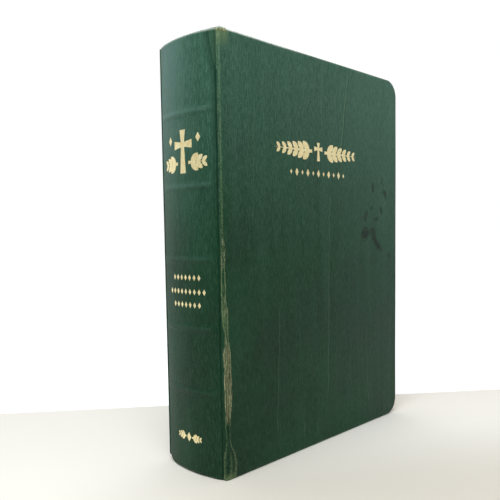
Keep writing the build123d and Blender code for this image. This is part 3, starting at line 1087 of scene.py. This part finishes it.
def makeBand(name, node, head, material):
    low, high = cornersOf(node)
    ys = np.linspace(-high.y, high.y, bands["columns"])
    sign = 1 if head else -1
    beadZ = high.z - bands["radius"] if head else low.z + bands["radius"]
    farZ = low.z if head else high.z
    points, faces = [], []
    turns = np.radians(np.linspace(-150, 150, 12))
    size = len(turns)
    for y in ys:
        bulge = bands["bulge"] * math.sin(y * math.tau / bands["turn"])
        for turn in turns:
            dx, dz = bands["radius"] * math.sin(turn), sign * bands["radius"] * math.cos(turn)
            points.append((low.x + backOfPages(y) + bands["beadOut"] + dx * (1 - bulge), y,
                           beadZ + dz * (1 + bulge)))
    for i in range(len(ys) - 1):
        for k in range(size):
            a, b = i * size + k, i * size + (k + 1) % size
            faces.append((a, b, b + size, a + size))
    faces.append(tuple(range(size))[::-1])
    faces.append(tuple((len(ys) - 1) * size + k for k in range(size)))

    # the strip glued down the back of the pages
    skirt = [(0.04, beadZ - sign * 1.5), (0.02, beadZ - sign * 5), (0.02, farZ + sign * 0.2)]
    first = len(points)
    for y in ys[::4]:
        for dx, z in skirt:
            x = low.x + backOfPages(y) + dx
            points += [(x, y, z), (x + bands["strip"], y, z)]
    wide = len(skirt) * 2
    for i in range(len(ys[::4]) - 1):
        a = first + i * wide
        for k in range(len(skirt) - 1):
            p = a + k * 2
            faces.append((p, p + 2, p + 2 + wide, p + wide))
            faces.append((p + 1, p + 1 + wide, p + 3 + wide, p + 3))
        faces.append((a, a + wide, a + wide + 1, a + 1))
        tip = a + wide - 2
        faces.append((tip, tip + 1, tip + 1 + wide, tip + wide))
    piece = addMesh(name, np.array(points), faces, material)
    faceOutward(piece)
    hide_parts(node)
    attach(piece, "spine")
    return piece


# creases of the front: from x and height to x and height, and strength
creases = ((27.2, 215, 18, 161, 1.3), (8.4, 143.6, 5.3, 23, 0.55), (-35, 85, -37.9, 11, 0.45),
           (-4.1, 15, -4.2, 2, 0.8), (-15.6, 18, -15.8, 4, 0.7), (1.7, 200, 1.4, 174, 0.6),
           (44, 66, 47, 8, 0.3), (-52, 190, -54, 120, 0.35))
# stains of the front: x, height, half width, half height, lean and strength
stains = ((52, 146.6, 1.5, 3.4, -0.2, 0.8), (65.7, 143.5, 2.4, 3.6, -0.6, 0.75), (62, 151, 1.2, 2.6, 0.0, 0.55),
          (50.9, 134.2, 1.3, 1.8, 0.0, 0.7), (61.1, 133.2, 1.6, 3.0, -0.3, 0.7),
          (44.3, 129.3, 2.0, 4.2, 0.3, 0.65), (55.5, 127.6, 4.5, 1.6, 0.0, 0.6),
          (43.5, 118.5, 4.6, 5.0, 0.2, 0.9), (52.5, 118.0, 3.0, 5.5, -0.3, 0.7),
          (57.0, 111.5, 3.4, 5.0, -0.9, 0.85), (70.5, 104.1, 1.8, 2.6, 0.0, 0.55))
frontLeather = makeLeather("front green leathercloth", 1, creases, stains, worn=True)
backLeather = makeLeather("back green leathercloth", 2, ((20, 200, 26, 60, 0.6), (-30, 120, -27, 12, 0.5)))
spineLeather = makeLeather("spine green leathercloth", 3, spineSheen=0.42)
makeCover(-1, "front", frontLeather)
makeCover(1, "back", backLeather)
makeSpine(spineLeather)
print("covering made")

gilt = makeGilt()
makeFoil("frontOrnament", "front_stamp", "front_cover", gilt)
makeFoil("spineOrnament", "spine_stamp", "spine", gilt)
makeFray(makeFibreFinish())
print("ornaments and worn threads made")

leafPaper = makePaper("bible paper", paper["leaf"], edgeLines=True)
endPaper = makePaper("endpaper", paper["endpaper"])
for side, sideName in ((-1, "front"), (1, "back")):
    for index in range(1, 13):
        makeSection(side, sideName, index, leafPaper)
    makeFlyleaf(side, sideName, endPaper)
    makePastedown(side, sideName, endPaper)
silk = makeBandFinish()
makeBand("headbandWoven", "headband", True, silk)
makeBand("tailbandWoven", "tailband", False, silk)
print("pages made")

inner = {
    "board": makePlain("grey board", rgb(150, 138, 116), rgb(176, 164, 140), (0.6, 0.6, 0.6), 0.05, 0.9),
    "card": makePlain("spine card", rgb(168, 154, 126), rgb(190, 176, 148), (0.8, 0.8, 0.4), 0.04, 0.88),
    "gauze": makePlain("mull gauze", rgb(206, 198, 176), rgb(226, 220, 200), (0.4, 0.4, 0.4), 0.06, 0.92,
                       weave=7.0),
    "kraft": makePlain("kraft lining", rgb(158, 122, 82), rgb(178, 142, 100), (0.5, 2.0, 0.2), 0.03, 0.85),
    "thread": makePlain("sewing thread", rgb(228, 222, 204), rgb(240, 236, 222), (3.0, 3.0, 3.0), 0.04, 0.8),
}
for node, finish in (("front_board", "board"), ("back_board", "board"), ("spine_inlay", "card"),
                     ("mull", "gauze"), ("front_mull_flap", "gauze"), ("back_mull_flap", "gauze"),
                     ("spine_lining", "kraft"), ("sewing_thread", "thread")):
    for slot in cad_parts[node].material_slots:
        slot.material = inner[finish]
print("inner parts finished")


room = {
    "farEdge": 413.0,         # distance from the camera at which the table gives way to the white
    "farSlant": 0.1186,       # the edge runs a little askew
    "tableColor": rgb(238, 233, 225),
    # painted shade of the book on the table
    "tableShade": rgb(212, 203, 190),
    "tableCloud": rgb(232, 224, 212),
    "floorHalf": 3000.0,
    "roughness": 0.85,
    "specular": 0.2,
    "wallColor": rgb(253, 252, 253),
    "dim": rgb(118, 122, 126),
    "farGlow": (0.27, 0.5),   # near and far: the white part is as bright as the room behind
    "strength": 1.04,
}
view = {
    # degrees round the book, above the table, and of roll
    "azimuth": -45.1,
    "elevation": 4.03,
    "roll": -0.90,
    "distance": 1.292,        # in book heights
    "right": 0.06,
    "up": -0.033,
    "lens": 42.48,
    "shiftY": 0.05,
}


def makeFloor(eye):
    half = room["floorHalf"]
    points = [(-half, -half, 0), (half, -half, 0), (half, half, 0), (-half, half, 0)]
    material, surface = newMaterial("pale floor")
    place = restPlace()
    x, y, _ = splitPlace(place)
    turn = math.radians(view["azimuth"])
    fromEyeX, fromEyeY = plus(x, -eye.x * 1000), plus(y, -eye.y * 1000)
    sideways = plus(times(fromEyeX, math.cos(turn)), times(fromEyeY, math.sin(turn)))
    away = plus(times(fromEyeX, -math.sin(turn)), times(fromEyeY, math.cos(turn)))
    away = plus(away, times(sideways, -room["farSlant"]))
    cloud = noise(place, (0.004, 0.012, 1.0), 4.0, 0.6)
    table = mixColor(times(cloud, 0.25), room["tableColor"], room["tableCloud"])
    # painted shade: the table is painted darker and warmer near the camera beside the book, where the book's shade
    # falls
    near = times(ramped(away, 350, 250), ramped(sideways, -110, 10))
    table = mixColor(times(near, 0.8), table, room["tableShade"])
    far = ramped(away, room["farEdge"], room["farEdge"] + 3)
    glow = ramped(away, room["farEdge"], room["farEdge"] * 4, *room["farGlow"])
    setInputs(surface, {"Base Color": mixColor(far, table, room["wallColor"]), "Roughness": room["roughness"],
                        "Specular IOR Level": room["specular"], "Emission Color": room["wallColor"],
                        "Emission Strength": times(far, glow)})
    addMesh("floor", points, [(0, 1, 2, 3)], material)


def makeCamera():
    azimuth, elevation, roll = (math.radians(view[k]) for k in ("azimuth", "elevation", "roll"))
    back = Vector((math.sin(azimuth) * math.cos(elevation), -math.cos(azimuth) * math.cos(elevation),
                   math.sin(elevation)))
    right = Vector((math.cos(azimuth), math.sin(azimuth), 0))
    up = back.cross(right)
    turnedRight = math.cos(roll) * right + math.sin(roll) * up
    turnedUp = -math.sin(roll) * right + math.cos(roll) * up
    height = bookHeight * mm
    target = Vector((ridgeX * mm, -halfThick * mm, height / 2))
    data = bpy.data.cameras.new("camera")
    data.lens = view["lens"]
    data.sensor_width = 36
    data.shift_y = view["shiftY"]
    data.clip_start = 0.01
    camera = bpy.data.objects.new("camera", data)
    bpy.context.collection.objects.link(camera)
    place = target + height * (view["distance"] * back + view["right"] * turnedRight + view["up"] * turnedUp)
    matrix = camera.matrix_world.to_3x3()
    for column, axis in enumerate((turnedRight, turnedUp, back)):
        for row in range(3):
            matrix[row][column] = axis[row]
    camera.matrix_world = matrix.to_4x4()
    camera.location = place
    bpy.context.scene.camera = camera
    return place


lamps = (
    # name, place, aimed at, size, watts, colour
    ("softTop", (-0.30, -0.16, 0.66), (-0.04, 0.0, 0.1), 0.5, 4.2, (0.92, 0.98, 1.0)),
    ("softRight", (0.25, -0.75, 0.5), (0.03, 0.0, 0.13), 0.5, 0.9, (1.0, 0.99, 0.96)),
    ("softLeft", (-0.9, 0.15, 0.4), (0.0, 0.0, 0.1), 0.6, 0.35, (0.95, 0.98, 1.0)),
)


def addLamps():
    for name, place, aim, size, power, color in lamps:
        data = bpy.data.lights.new(name, "AREA")
        data.shape = "DISK"
        data.size = size
        data.energy = power
        data.color = color
        lamp = bpy.data.objects.new(name, data)
        lamp.location = place
        lamp.rotation_euler = (Vector(aim) - Vector(place)).to_track_quat("-Z", "Y").to_euler()
        bpy.context.collection.objects.link(lamp)


def addRoom():
    # white behind the book, dimmer on the side that the spine and the front cover face
    world = bpy.data.worlds.new("room")
    bpy.context.scene.world = world
    world.use_nodes = True
    shader["tree"] = world.node_tree
    x, y, _ = splitPlace(addNode("ShaderNodeTexCoord", {}).outputs["Generated"])
    turn = math.radians(view["azimuth"])
    away = plus(times(x, -math.sin(turn)), times(y, math.cos(turn)))
    tone = mixColor(ramped(away, -0.35, 0.55), room["dim"], room["wallColor"])
    setInputs(world.node_tree.nodes["Background"], {"Color": tone, "Strength": room["strength"]})


eye = makeCamera()
makeFloor(eye)
addLamps()
addRoom()
bpy.context.scene.view_settings.view_transform = "Standard"
print("camera, floor and light set")
